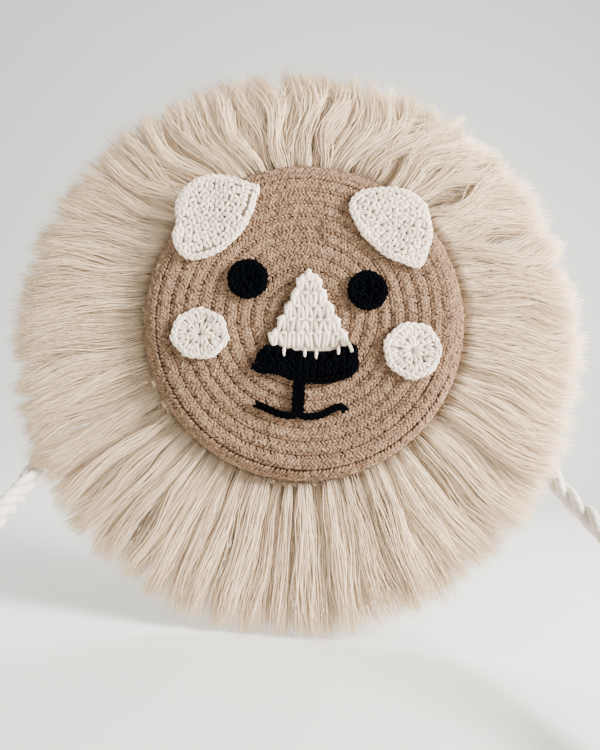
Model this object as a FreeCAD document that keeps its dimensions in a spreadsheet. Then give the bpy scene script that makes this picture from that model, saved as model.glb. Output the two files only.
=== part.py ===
"""Round shoulder bag of coiled jute cord with an animal face, a fringe mane and a rope strap.

Millimetres. The bag stands upright: +Z up, the face looks along -Y, +X is to the right of the face.
The origin is the centre of the flat back panel, so the bag fills y = 0 (back) to y = -face_y (front).
Angles round the bag are measured from +X towards +Z.
"""
import FreeCAD, Part
import math
import os

from FreeCAD import Placement, Rotation, Vector

doc = FreeCAD.newDocument("RoundBag")

# ---------------------------------------------------------------- driving sizes
SIZES = {
    # coiled jute shells
    "bag_radius": 98,
    "wall": 8,
    "corner": 12,
    "back_depth": 34,
    "front_depth": 28,
    "zip_gap": 10,
    # lining
    "lining_gap": 0.3,
    "lining_wall": 0.8,
    # zip
    "zip_radius": 94,
    "zip_start": -27,
    "zip_sweep": 234,
    "tape_wall": 0.8,
    "tape_width": 2.2,
    "tape_gap": 0.2,
    "tooth_pitch": 1.95,
    "tooth_width": 1.2,
    "tooth_length": 3.3,
    "tooth_height": 2.8,
    "slider_length": 12,
    "slider_width": 7.6,
    "slider_wall": 1.4,
    "bail_length": 7.2,
    "bail_width": 1.6,
    "bail_height": 4,
    "pull_length": 24,
    "pull_width": 6,
    "pull_wall": 1.4,
    # strap and its eyelets
    "strap_dia": 11,
    "strap_y": 21,
    "eyelet_bore": 6,
    "eyelet_barrel": 6.9,
    "eyelet_flange": 9,
    "flange_wall": 1.2,
    "eyelet_reach": 3,
    "knot_radius": 9,
    "knot_x": 77.5,
    # mane
    "mane_count": 26,
    "mane_radius": 178,
    "mane_dx": -3,
    "mane_dz": -12,
    "mane_back": 46.5,
    "mane_root_depth": 11.5,
    "mane_tip_depth": 7,
    "mane_gap": 0.4,
    "header_inner": 98.3,
    "header_outer": 101.7,
    # crochet pieces on the face
    "crochet_gap": 0.3,
    "crochet_wall": 4,
    "eye_radius": 12.2,
    "eye_hole": 1.2,
    "cheek_radius": 16.6,
    "cheek_hole": 1.4,
    "nose_height": 45,
    "nose_base": 47,
    "nose_top": 5,
    "nose_tilt": 5,
    "mouth_dia": 4.6,
    "yarn_dia": 2.2,
}

sheet = doc.addObject("Spreadsheet::Sheet", "Sizes")
for row, (alias, value) in enumerate(SIZES.items(), start=1):
    sheet.set(f"A{row}", alias)
    sheet.set(f"B{row}", str(value))
    sheet.setAlias(f"B{row}", alias)
doc.recompute()

FACE_Y = SIZES["back_depth"] + SIZES["zip_gap"] + SIZES["front_depth"]
FRONT_EDGE_Y = SIZES["back_depth"] + SIZES["zip_gap"]
ZIP_Y = SIZES["back_depth"] + SIZES["zip_gap"] / 2

TOWARDS_FRONT = Rotation(Vector(1, 0, 0), 90)
TOWARDS_BACK = Rotation(Vector(1, 0, 0), -90)
parts = []


def keep(obj, node):
    """Names a finished sub-part, whose label names its file."""
    obj.Label = node
    parts.append(obj)
    return obj


def bind(obj, **expressions):
    for prop, expression in expressions.items():
        obj.setExpression(prop, expression)
    return obj


def cut(name, base, tool):
    obj = doc.addObject("Part::Cut", name)
    obj.Base = base
    obj.Tool = tool
    return obj


def fuse(name, shapes):
    obj = doc.addObject("Part::MultiFuse", name)
    obj.Shapes = shapes
    return obj


def cylinder(name, radius, height, placement=None, sweep=None):
    obj = doc.addObject("Part::Cylinder", name)
    bind(obj, Radius=radius, Height=height)
    if sweep:
        bind(obj, Angle=sweep)
    if placement:
        obj.Placement = placement
    return obj


def box(name, length, width, height, placement):
    obj = doc.addObject("Part::Box", name)
    bind(obj, Length=length, Width=width, Height=height)
    obj.Placement = placement
    return obj


def round_lowest_rim(name, base, radius):
    """Rounds the rim of a cylinder's lower end."""
    doc.recompute()
    low = base.Shape.BoundBox.ZMin
    rims = [
        number
        for number, edge in enumerate(base.Shape.Edges, start=1)
        if edge.Closed and edge.BoundBox.ZMax < low + 0.01
    ]
    obj = doc.addObject("Part::Fillet", name)
    obj.Base = base
    obj.Edges = [(number, radius, radius) for number in rims]
    return obj


def across(distance, side):
    """A frame at the bag's side, whose +Z points outwards along X."""
    return Placement(Vector(side * distance, 0, SIZES["strap_y"]), Rotation(Vector(0, 1, 0), side * 90))


# ---------------------------------------------------------------- coiled shells and lining
def pan(name, inset, wall, depth, corner, lift):
    """A round pan, closed face down at height lift, with a rounded rim; inset is from the bag's radius.
    wall is the alias of its thickness."""
    outer = cylinder(
        f"{name}_outer", f"Sizes.bag_radius - {inset}", depth, Placement(Vector(0, 0, lift), Rotation())
    )
    inner = cylinder(
        f"{name}_inner",
        f"Sizes.bag_radius - {inset} - Sizes.{wall}",
        depth,
        Placement(Vector(0, 0, lift + SIZES[wall]), Rotation()),
    )
    rounded = round_lowest_rim(f"{name}_rim", outer, corner)
    hollow = round_lowest_rim(f"{name}_hollow", inner, corner - SIZES[wall])
    return cut(f"{name}_pan", rounded, hollow)


def strap_holes(name, base, radius):
    """Two side holes for the strap's eyelets."""
    holes = [
        cylinder(f"{name}_hole_{side}", radius, "Sizes.wall * 3", across(SIZES["bag_radius"] - 20, side))
        for side in (-1, 1)
    ]
    return cut(f"{name}_holed", base, fuse(f"{name}_holes", holes))


EYELET_HOLE = "Sizes.eyelet_barrel + 0.2"
back_pan = pan("back_shell", "0", "wall", "Sizes.back_depth", SIZES["corner"], 0)
back_shell = keep(strap_holes("back_shell", back_pan, EYELET_HOLE), "back_shell")
back_shell.Placement = Placement(Vector(0, 0, 0), TOWARDS_FRONT)

front_shell = keep(
    pan("front_shell", "0", "wall", "Sizes.front_depth", SIZES["corner"], 0), "front_shell"
)
front_shell.Placement = Placement(Vector(0, -FACE_Y, 0), TOWARDS_BACK)

LINING_INSET = "(Sizes.wall + Sizes.lining_gap)"
LINING_CORNER = SIZES["corner"] - SIZES["wall"]
lining_lift = SIZES["wall"] + SIZES["lining_gap"]
back_lining_pan = pan(
    "back_lining",
    LINING_INSET,
    "lining_wall",
    "Sizes.back_depth - Sizes.wall - 2 * Sizes.lining_gap",
    LINING_CORNER,
    lining_lift,
)
back_lining = keep(strap_holes("back_lining", back_lining_pan, EYELET_HOLE), "back_lining")
back_lining.Placement = Placement(Vector(0, 0, 0), TOWARDS_FRONT)

front_lining = keep(
    pan(
        "front_lining",
        LINING_INSET,
        "lining_wall",
        "Sizes.front_depth - Sizes.wall - 2 * Sizes.lining_gap",
        LINING_CORNER,
        lining_lift,
    ),
    "front_lining",
)
front_lining.Placement = Placement(Vector(0, -FACE_Y, 0), TOWARDS_BACK)


# ---------------------------------------------------------------- zip, gusset and stops
def ring_sector(name, inner, outer, depth, back_y, start, sweep):
    """Part of a ring round the bag's axis, from y = -back_y towards the front."""
    place = Placement(Vector(0, -back_y, 0), TOWARDS_FRONT * Rotation(Vector(0, 0, 1), start))
    whole = cylinder(f"{name}_whole", outer, depth, place, sweep)
    core = cylinder(f"{name}_core", inner, depth, place)
    return cut(f"{name}_sector", whole, core)


TAPE_INNER = "Sizes.zip_radius - Sizes.tape_wall / 2"
TAPE_OUTER = "Sizes.zip_radius + Sizes.tape_wall / 2"
back_tape_y = SIZES["back_depth"] + SIZES["tape_gap"]
front_tape_y = FRONT_EDGE_Y - SIZES["tape_gap"] - SIZES["tape_width"]
for node, tape_y in (("zip_tape_back", back_tape_y), ("zip_tape_front", front_tape_y)):
    tape = ring_sector(
        node, TAPE_INNER, TAPE_OUTER, "Sizes.tape_width", tape_y, SIZES["zip_start"], "Sizes.zip_sweep"
    )
    keep(tape, node)

# The gusset strip joins the two shells where there is no zip, and is the bag's hinge.
gusset_start = SIZES["zip_start"] - (360 - SIZES["zip_sweep"]) + 1
gusset = ring_sector(
    "bottom_gusset",
    TAPE_INNER,
    TAPE_OUTER,
    "Sizes.zip_gap / 2 + 1.5",
    back_tape_y,
    gusset_start,
    "360 - Sizes.zip_sweep - 2",
)
keep(gusset, "bottom_gusset")


def round_the_bag(shape, angle):
    """Turns a shape made at angle 0 to its angle round the bag's axis."""
    turned = shape.copy()
    turned.rotate(Vector(0, 0, 0), Vector(0, -1, 0), angle)
    return turned


def teeth(node, back_y, offset):
    """One row of moulded teeth, each a small block, spaced by the tooth pitch in degrees."""
    length = sheet.get("tooth_length")
    width = sheet.get("tooth_width")
    height = sheet.get("tooth_height")
    pitch = sheet.get("tooth_pitch")
    block = Part.makeBox(
        height, length, width, Vector(sheet.get("zip_radius") - height / 2, -back_y - length, -width / 2)
    )
    count = int(sheet.get("zip_sweep") / pitch) - 1
    angles = [sheet.get("zip_start") + pitch * (index + offset) for index in range(1, count)]
    obj = doc.addObject("Part::Feature", node)
    obj.Shape = Part.makeCompound([round_the_bag(block, angle) for angle in angles])
    return keep(obj, node)


tape_edge_y = back_tape_y + SIZES["tape_width"] + 0.05
teeth("zip_teeth_back", tape_edge_y, 0)
teeth("zip_teeth_front", 2 * ZIP_Y - tape_edge_y - SIZES["tooth_length"], 0.5)


def end_stop(node, angle):
    """A metal bar that closes one end of the zip's back tape."""
    place = Placement(Vector(0, 0, 0), Rotation(Vector(0, -1, 0), angle))
    shift = Vector(SIZES["zip_radius"] - SIZES["tooth_height"] / 2, -tape_edge_y - SIZES["tooth_length"], -1)
    corner = Placement(place.multVec(shift), place.Rotation)
    stop = box(f"{node}_bar", "Sizes.tooth_height", "Sizes.tooth_length", "2", corner)
    return keep(stop, node)


end_stop("zip_closed_stop", SIZES["zip_start"] + SIZES["zip_sweep"] - 0.8)
end_stop("zip_open_stop", SIZES["zip_start"] + 0.8)

# ---------------------------------------------------------------- slider and pull
SLIDER_ANGLE = 203
slider_turn = Rotation(Vector(0, -1, 0), SLIDER_ANGLE)
plate_low = SIZES["zip_radius"] + SIZES["tooth_height"] / 2 + 0.5
plate_high = plate_low + SIZES["slider_wall"]
bail_start = -SIZES["bail_length"] / 2
bail_side = ZIP_Y + SIZES["bail_width"] / 2


def on_slider(radius, back_y, along):
    """A corner placed by its radius, depth and distance along the zip at the slider."""
    return Placement(slider_turn.multVec(Vector(radius, -back_y, along)), slider_turn)


crown = box(
    "slider_crown",
    "Sizes.slider_wall",
    "Sizes.slider_width",
    "Sizes.slider_length",
    on_slider(plate_low, ZIP_Y + SIZES["slider_width"] / 2, -SIZES["slider_length"] / 2),
)
lip = box(
    "slider_lip",
    "1.6",
    "0.8",
    "Sizes.slider_length",
    on_slider(plate_low - 1.4, ZIP_Y - SIZES["slider_width"] / 2 + 0.8, -SIZES["slider_length"] / 2),
)
posts = [
    box(
        f"slider_post_{number}",
        "Sizes.bail_height",
        "Sizes.bail_width",
        "Sizes.bail_width",
        on_slider(plate_high - 0.1, bail_side, along),
    )
    for number, along in enumerate((bail_start, -bail_start - SIZES["bail_width"]))
]
bridge = box(
    "slider_bridge",
    "1.2",
    "Sizes.bail_width",
    "Sizes.bail_length",
    on_slider(plate_high + SIZES["bail_height"] - 0.2, bail_side, bail_start),
)
keep(fuse("zip_slider_body", [crown, lip, bridge] + posts), "zip_slider")

# The pull hangs straight down from the slider's bridge, and turns about an axis along Y.
pull_pivot = slider_turn.multVec(Vector(plate_high + 2.2, -ZIP_Y, 0))
pull_place = Placement(
    Vector(pull_pivot.x - SIZES["pull_wall"] / 2, -ZIP_Y - SIZES["pull_width"] / 2, pull_pivot.z), Rotation()
)
tab = box(
    "pull_tab",
    "Sizes.pull_wall",
    "Sizes.pull_width",
    "Sizes.pull_length - 5",
    Placement(pull_place.Base - Vector(0, 0, SIZES["pull_length"]), Rotation()),
)
ARM_WALL = 1.2
arms = [
    box(
        f"pull_arm_{number}",
        "Sizes.pull_wall",
        str(ARM_WALL),
        "6",
        Placement(pull_place.Base + Vector(0, shift, -5.5), Rotation()),
    )
    for number, shift in enumerate((0, SIZES["pull_width"] - ARM_WALL))
]
pin = cylinder(
    "pull_pin",
    "0.6",
    "Sizes.pull_width - 0.2",
    Placement(Vector(pull_pivot.x, -ZIP_Y + SIZES["pull_width"] / 2 - 0.1, pull_pivot.z), TOWARDS_FRONT),
)
keep(fuse("zip_pull_body", [tab, pin] + arms), "zip_pull")


# ---------------------------------------------------------------- strap
def eyelet(node, side):
    """A rolled metal eyelet: a barrel through the wall and lining, with a flange at each end."""
    inner_x = SIZES["bag_radius"] - SIZES["wall"] - SIZES["eyelet_reach"]
    outer_x = SIZES["bag_radius"] + 0.3
    wall = SIZES["flange_wall"]
    rings = [
        ("barrel", "Sizes.eyelet_barrel", inner_x, outer_x - inner_x),
        ("outer_flange", "Sizes.eyelet_flange", outer_x, wall),
        ("inner_flange", "Sizes.eyelet_flange", inner_x, wall),
    ]
    solids = []
    for name, radius, start, length in rings:
        place = Placement(
            Vector(side * start, -SIZES["strap_y"], 0), Rotation(Vector(0, 1, 0), side * 90)
        )
        solids.append(cylinder(f"{node}_{name}", radius, str(length), place))
    place = Placement(Vector(side * inner_x, -SIZES["strap_y"], 0), Rotation(Vector(0, 1, 0), side * 90))
    bore = cylinder(f"{node}_bore", "Sizes.eyelet_bore", str(outer_x + wall - inner_x), place)
    return keep(cut(f"{node}_cut", fuse(f"{node}_solid", solids), bore), node)


def knot(node, side):
    """The stopper knot that the strap ends in, inside the bag."""
    obj = doc.addObject("Part::Sphere", f"{node}_ball")
    bind(obj, Radius="Sizes.knot_radius")
    obj.Placement = Placement(Vector(side * SIZES["knot_x"], -SIZES["strap_y"], 0), Rotation())
    return keep(obj, node)


for name, side in (("left", -1), ("right", 1)):
    eyelet(f"{name}_eyelet", side)
    knot(f"{name}_strap_knot", side)


def tube(node, route, diameter):
    """A round cord along straight runs joined by tangent arcs, each as large as its runs allow."""
    points = [Vector(*point) for point in route]
    edges = []
    radii = []
    start = points[0]
    for before, corner, after in zip(points, points[1:], points[2:]):
        inwards = (before - corner).normalize()
        onwards = (after - corner).normalize()
        shorter = min((before - corner).Length, (after - corner).Length)
        reach = 0.45 * shorter
        half_turn = (math.pi - inwards.getAngle(onwards)) / 2
        radius = reach / math.tan(half_turn)
        radii.append(round(radius, 1))
        arc_start = corner + inwards * reach
        arc_end = corner + onwards * reach
        bisector = (inwards + onwards).normalize()
        middle = corner + bisector * (radius / math.cos(half_turn) - radius)
        edges.append(Part.LineSegment(start, arc_start).toShape())
        edges.append(Part.Arc(arc_start, middle, arc_end).toShape())
        start = arc_end
    edges.append(Part.LineSegment(start, points[-1]).toShape())
    path = Part.Wire(edges)
    section = Part.Wire(Part.makeCircle(diameter / 2, points[0], points[1] - points[0]))
    shape = path.makePipeShell([section], True, False)
    expected = math.pi * diameter**2 / 4 * path.Length
    print(f"{node}: length {path.Length:.1f}, volume ratio {shape.Volume / expected:.4f}, radii {radii}")
    obj = doc.addObject("Part::Feature", node)
    obj.Shape = shape
    return keep(obj, node)


STRAP_ROUTE = [
    (-84, -21, 0),
    (-108, -21, 0),
    (-133, -21, -12),
    (-150, -21, -37),
    (-159, -22, -68),
    (-164, -32, -99),
    (-160, -63, -117),
    (-150, -99, -121),
    (-144, -133, -129),
    (-141, -164, -149),
    (-134, -193, -172),
    (-112, -214, -184.5),
    (-76, -219, -184.5),
    (-37, -217, -184.5),
    (5, -214, -184.5),
    (46, -210, -184.5),
    (84, -204, -184.5),
    (122, -198, -183),
    (151, -177, -168),
    (167, -147, -145),
    (173, -113, -124),
    (173, -77, -108),
    (167, -42, -92),
    (159, -24, -62),
    (148, -21, -27),
    (130, -21, -6),
    (106, -21, 0),
    (84, -21, 0),
]
tube("strap_rope", STRAP_ROUTE, SIZES["strap_dia"])

# ---------------------------------------------------------------- mane
header = ring_sector(
    "mane_header",
    "Sizes.header_inner",
    "Sizes.header_outer",
    "Sizes.mane_root_depth",
    SIZES["mane_back"],
    0,
    "360",
)
keep(header, "mane_header")


def tuft(number):
    """One bundle of fringe: a block that widens from the header cord out to the mane's edge."""
    step = 360 / SIZES["mane_count"]
    angle = step * (number - 0.5)
    obj = doc.addObject("Part::Wedge", f"tuft_{number:02d}")
    east = math.cos(math.radians(angle))
    north = math.sin(math.radians(angle))
    half = math.tan(math.radians(step / 2))
    offset = f"(Sizes.mane_dx * {north:.6f} - Sizes.mane_dz * {east:.6f})"
    tip = f"(Sizes.mane_dx * {east:.6f} + Sizes.mane_dz * {north:.6f}"
    tip += f" + sqrt(Sizes.mane_radius * Sizes.mane_radius - {offset} * {offset}))"
    root = "(Sizes.header_outer + 0.5)"
    root_half = f"({root} * {half:.6f} - Sizes.mane_gap)"
    tip_half = f"({tip} * {half:.6f} * 0.94)"
    thinning = "(Sizes.mane_root_depth - Sizes.mane_tip_depth) / 2"
    bind(
        obj,
        Ymin=root,
        Ymax=tip,
        Xmin=f"-{root_half}",
        Xmax=root_half,
        X2min=f"-{tip_half}",
        X2max=tip_half,
        Zmin="Sizes.mane_back",
        Zmax="Sizes.mane_back + Sizes.mane_root_depth",
        Z2min=f"Sizes.mane_back + {thinning}",
        Z2max=f"Sizes.mane_back + Sizes.mane_root_depth - {thinning}",
    )
    radial = Vector(east, 0, north)
    forwards = Vector(0, -1, 0)
    obj.Placement = Placement(Vector(0, 0, 0), Rotation(radial.cross(forwards), radial, forwards, "ZYX"))
    return keep(obj, f"mane_tuft_{number:02d}")


for number in range(1, SIZES["mane_count"] + 1):
    tuft(number)


# ---------------------------------------------------------------- crochet pieces on the face
def on_face(x, z, lift=0.0):
    """A frame standing on the face, whose +Z points to the front."""
    return Placement(Vector(x, -FACE_Y - SIZES["crochet_gap"] - lift, z), TOWARDS_FRONT)


def ear(node, first, last, outer_rise, inner_rise):
    """A leaf: the part shared by two discs that meet at its two corners."""
    mid_x = (first[0] + last[0]) / 2
    mid_z = (first[1] + last[1]) / 2
    chord = math.hypot(last[0] - first[0], last[1] - first[1])
    normal_x = -(last[1] - first[1]) / chord
    normal_z = (last[0] - first[0]) / chord
    half = chord / 2
    discs = []
    for name, rise, side in (("outer", outer_rise, -1), ("inner", inner_rise, 1)):
        radius = (half**2 + rise**2) / (2 * rise)
        shift = side * (radius - rise)
        centre = on_face(mid_x + normal_x * shift, mid_z + normal_z * shift)
        discs.append(cylinder(f"{node}_{name}", str(radius), "Sizes.crochet_wall", centre))
    obj = doc.addObject("Part::Common", f"{node}_leaf")
    obj.Base, obj.Tool = discs
    return keep(obj, node)


ear("left_ear", (-72, 29), (-34, 76), 30, 13)
ear("right_ear", (22.5, 70), (68, 35), 31, 10.5)


def button(node, x, z, radius, hole):
    """A round crochet piece with a small hole at its first stitch."""
    whole = cylinder(f"{node}_disc", radius, "Sizes.crochet_wall", on_face(x, z))
    centre = cylinder(f"{node}_hole", hole, "Sizes.crochet_wall", on_face(x, z))
    return keep(cut(f"{node}_cut", whole, centre), node)


button("left_eye", -35, 20, "Sizes.eye_radius", "Sizes.eye_hole")
button("right_eye", 36.5, 18, "Sizes.eye_radius", "Sizes.eye_hole")
button("left_cheek", -60.5, -15, "Sizes.cheek_radius", "Sizes.cheek_hole")
button("right_cheek", 65, -16, "Sizes.cheek_radius", "Sizes.cheek_hole")

nose_foot = Vector(2.5, 0, -18)
bridge_piece = bind(
    doc.addObject("Part::Wedge", "nose_bridge_block"),
    Ymin="0",
    Ymax="Sizes.nose_height",
    Xmin="-Sizes.nose_base / 2",
    Xmax="Sizes.nose_base / 2",
    X2min="-Sizes.nose_top / 2",
    X2max="Sizes.nose_top / 2",
    Zmin="0",
    Zmax="Sizes.crochet_wall",
    Z2min="0",
    Z2max="Sizes.crochet_wall",
)
bridge_piece.Placement = Placement(
    on_face(nose_foot.x, nose_foot.z).Base, TOWARDS_FRONT * Rotation(Vector(0, 0, 1), SIZES["nose_tilt"])
)
keep(bridge_piece, "nose_bridge")
ear("nose_tip", (33, -21), (-27.5, -31), 14.5, 4.5)


def face_cord(node, route, diameter, lift=0.0):
    """A cord sewn flat on the face, its route given as x and z."""
    depth = FACE_Y + SIZES["crochet_gap"] + lift + diameter / 2
    return tube(node, [(x, -depth, z) for x, z in route], diameter)


MOUTH_LEFT = [(-2.8, -41), (-2.2, -54), (-7.5, -59.5), (-15, -57.2), (-23, -55.6)]
MOUTH_RIGHT = [(2.4, -41), (3.0, -53.5), (8.5, -58.5), (17, -55.5), (24, -51.5), (29, -52.5)]
face_cord("mouth_left_cord", MOUTH_LEFT, SIZES["mouth_dia"])
face_cord("mouth_right_cord", MOUTH_RIGHT, SIZES["mouth_dia"])
YARN_TAIL = [(24, -13.5), (26.5, -15.5), (29, -19.5)]
face_cord("nose_yarn_tail", YARN_TAIL, SIZES["yarn_dia"], SIZES["crochet_wall"] + SIZES["crochet_gap"])
face_cord("forehead_stitch", [(7.8, 61.5), (8.3, 55), (8.7, 48)], 1.6)

# ---------------------------------------------------------------- check and write
doc.recompute()
faults = [obj.Name for obj in doc.Objects if {"Invalid", "Error"} & set(obj.State)]
faults += [obj.Label for obj in parts if obj.Shape.isNull() or not obj.Shape.isValid()]
if faults:
    raise RuntimeError(f"failed objects: {faults}")
os.makedirs("parts", exist_ok=True)
for obj in parts:
    obj.Shape.exportStep(f"parts/{obj.Label}.step")
print(len(parts), "sub-parts written")
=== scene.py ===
"""Looks of the round jute shoulder bag with a lion face: coiled cord, crochet, fringe mane and rope strap.

Metres, in the bag's own frame: +Z up, the face looks along -Y, the origin is the back panel's centre.
"""

import math

import bpy
import numpy as np
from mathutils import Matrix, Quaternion, Vector


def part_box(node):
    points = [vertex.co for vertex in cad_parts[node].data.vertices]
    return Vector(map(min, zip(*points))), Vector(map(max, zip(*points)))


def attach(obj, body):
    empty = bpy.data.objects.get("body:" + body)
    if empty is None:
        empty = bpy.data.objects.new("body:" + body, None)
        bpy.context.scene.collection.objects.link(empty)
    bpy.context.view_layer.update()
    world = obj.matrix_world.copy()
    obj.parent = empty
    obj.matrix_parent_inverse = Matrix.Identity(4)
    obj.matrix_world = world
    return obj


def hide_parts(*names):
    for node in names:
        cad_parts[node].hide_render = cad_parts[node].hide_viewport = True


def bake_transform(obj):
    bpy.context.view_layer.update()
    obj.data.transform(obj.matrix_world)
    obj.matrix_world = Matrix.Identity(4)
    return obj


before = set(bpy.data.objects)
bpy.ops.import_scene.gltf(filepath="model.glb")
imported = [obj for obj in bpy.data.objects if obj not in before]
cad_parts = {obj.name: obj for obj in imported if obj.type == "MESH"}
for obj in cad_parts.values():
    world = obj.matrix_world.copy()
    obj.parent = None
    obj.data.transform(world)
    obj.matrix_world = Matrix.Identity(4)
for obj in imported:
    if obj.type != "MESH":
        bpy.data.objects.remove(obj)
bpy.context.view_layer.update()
bpy.ops.object.select_all(action="DESELECT")

MM = 0.001
TAU = 2 * math.pi

# ---------------------------------------------------------------- sizes
BAG_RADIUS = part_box("front_shell")[1][0]
FACE_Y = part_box("front_shell")[0][1]
FRONT_EDGE_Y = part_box("front_shell")[1][1]
BACK_EDGE_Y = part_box("back_shell")[0][1]
FLOOR_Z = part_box("strap_rope")[0][2]
RIM_CORNER = 12 * MM
CORD = 8 * MM

STRAP_DIAMETER = 11 * MM
EYELET_Y = (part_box("left_eyelet")[0][1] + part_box("left_eyelet")[1][1]) / 2
EYELET_CLEARANCE = 10 * MM

MANE_TUFTS = 26
HEADER_RADIUS = 100 * MM
ROOT_RADIUS = 98.6 * MM
MANE_RADIUS = 178 * MM
MANE_CENTRE = (-3 * MM, -12 * MM)
MANE_Y = (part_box("mane_header")[0][1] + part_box("mane_header")[1][1]) / 2

FORWARDS = np.array([0.0, -1.0, 0.0])
TONE_SPREAD = 40  # sets the streaks of two strands of different shade apart


# ---------------------------------------------------------------- mesh helpers
def unit(vectors):
    return vectors / np.maximum(np.linalg.norm(vectors, axis=-1, keepdims=True), 1e-12)


def deselect():
    bpy.ops.object.select_all(action="DESELECT")


def edit_all():
    bpy.ops.object.mode_set(mode="EDIT")
    bpy.ops.mesh.select_all(action="SELECT")


def take_mesh():
    """Triangulates the active object, takes its points and its faces in a fixed order, and removes it."""
    obj = bpy.context.active_object
    edit_all()
    bpy.ops.mesh.quads_convert_to_tris()
    bpy.ops.mesh.normals_make_consistent(inside=False)
    bpy.ops.object.mode_set(mode="OBJECT")
    points = np.array([v.co for v in obj.data.vertices])
    faces = np.array([p.vertices[:] for p in obj.data.polygons])
    start = faces.argmin(axis=1)[:, None]
    faces = np.take_along_axis(faces, (start + np.arange(3)) % 3, axis=1)
    faces = faces[np.lexsort(faces.T)]
    bpy.data.objects.remove(obj, do_unlink=True)
    return points, faces


def left_of(along):
    """Flat directions turned a quarter turn to the left."""
    return np.stack([-along[:, 1], along[:, 0]], axis=1)


def run_length(line):
    """The distance along a line at each of its points."""
    return np.concatenate([[0], np.cumsum(np.linalg.norm(np.diff(line, axis=0), axis=1))])


def yarn_leg(segments, rings, dive):
    """One visible leg of a stitch: a grain along X whose ends dive under, two units in each direction."""
    deselect()
    bpy.ops.mesh.primitive_uv_sphere_add(segments=segments, ring_count=rings, radius=1.0)
    edit_all()
    bpy.ops.transform.rotate(value=math.pi / 2, orient_axis="Y", center_override=(0, 0, 0))
    bpy.ops.object.mode_set(mode="OBJECT")
    for vertex in bpy.context.active_object.data.vertices:
        vertex.co.z -= dive * vertex.co.x**2
    return take_mesh()


LEG = yarn_leg(6, 4, 0.5)
SMALL_LEG = yarn_leg(5, 4, 0.5)
FINE_LEG = yarn_leg(8, 7, 0.45)


def stamp(leg, origins, along, outward, size, shade):
    """Copies of a leg: length, width and height in size, X along the yarn and Z outward, with a shade each."""
    points, faces = leg
    x = unit(along)
    z = unit(outward - x * np.sum(outward * x, axis=1, keepdims=True))
    y = np.cross(z, x)
    axes = np.stack([x, y, z], axis=1)
    local = points[None, :, :] * (np.broadcast_to(size, origins.shape) / 2)[:, None, :]
    placed = np.einsum("knj,kjc->knc", local, axes) + origins[:, None, :]
    count = len(origins)
    offsets = (np.arange(count) * len(points))[:, None, None]
    tone = np.broadcast_to(shade[:, None, None] * TONE_SPREAD, (count, len(points), 1))
    fibre = np.concatenate([local[:, :, :2] / MM, tone], axis=2)
    return (
        placed.reshape(-1, 3),
        (faces[None] + offsets).reshape(-1, 3),
        np.repeat(shade, len(points)),
        fibre.reshape(-1, 3),
    )


def sweep(centres, radii, sides, shade, normals=None, profile=None, twist=0.0):
    """Closed tubes along many centre lines at once: centres is lines x points x 3, radii lines x points."""
    lines, count, _ = centres.shape
    tangents = unit(np.gradient(centres, axis=1))
    if normals is None:
        normals = np.broadcast_to(FORWARDS, centres.shape)
    normals = unit(normals - tangents * np.sum(normals * tangents, axis=2, keepdims=True))
    sideways = np.cross(tangents, normals)
    steps = np.linalg.norm(np.diff(centres, axis=1), axis=2)
    length = np.concatenate([np.zeros((lines, 1)), np.cumsum(steps, axis=1)], axis=1)
    angles = TAU * np.arange(sides) / sides
    turned = angles[None, None, :] + twist * length[:, :, None]
    lobes = np.ones(sides) if profile is None else profile
    reach = radii[:, :, None] * lobes[None, None, :]
    ring = (
        centres[:, :, None, :]
        + (reach * np.cos(turned))[..., None] * normals[:, :, None, :]
        + (reach * np.sin(turned))[..., None] * sideways[:, :, None, :]
    )
    index = np.arange(lines * count * sides).reshape(lines, count, sides)
    near, far = index[:, :-1], index[:, 1:]
    near_next, far_next = np.roll(near, -1, axis=2), np.roll(far, -1, axis=2)
    wall = [np.stack([near, near_next, far_next], axis=3), np.stack([near, far_next, far], axis=3)]
    caps = []
    for number in range(1, sides - 1):
        caps.append(np.stack([index[:, 0, 0], index[:, 0, number + 1], index[:, 0, number]], axis=1))
        caps.append(np.stack([index[:, -1, 0], index[:, -1, number], index[:, -1, number + 1]], axis=1))
    faces = np.concatenate([part.reshape(-1, 3) for part in wall] + caps)
    across = np.broadcast_to(angles[None, None, :] * radii[:, :, None], ring.shape[:3])
    along = np.broadcast_to(length[:, :, None], ring.shape[:3])
    tone = np.broadcast_to(shade.reshape(lines, -1, 1), ring.shape[:3])
    fibre = np.stack([along / MM, across / MM, tone * TONE_SPREAD], axis=3)
    return ring.reshape(-1, 3), faces, tone.reshape(-1), fibre.reshape(-1, 3)


def join_parts(parts):
    """Puts several stamped or swept parts together in one set of points and faces."""
    shift = np.cumsum([0] + [len(part[0]) for part in parts[:-1]])
    faces = np.concatenate([part[1] + start for part, start in zip(parts, shift)])
    return (
        np.concatenate([part[0] for part in parts]),
        faces,
        np.concatenate([part[2] for part in parts]),
        np.concatenate([part[3] for part in parts]),
    )


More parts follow.
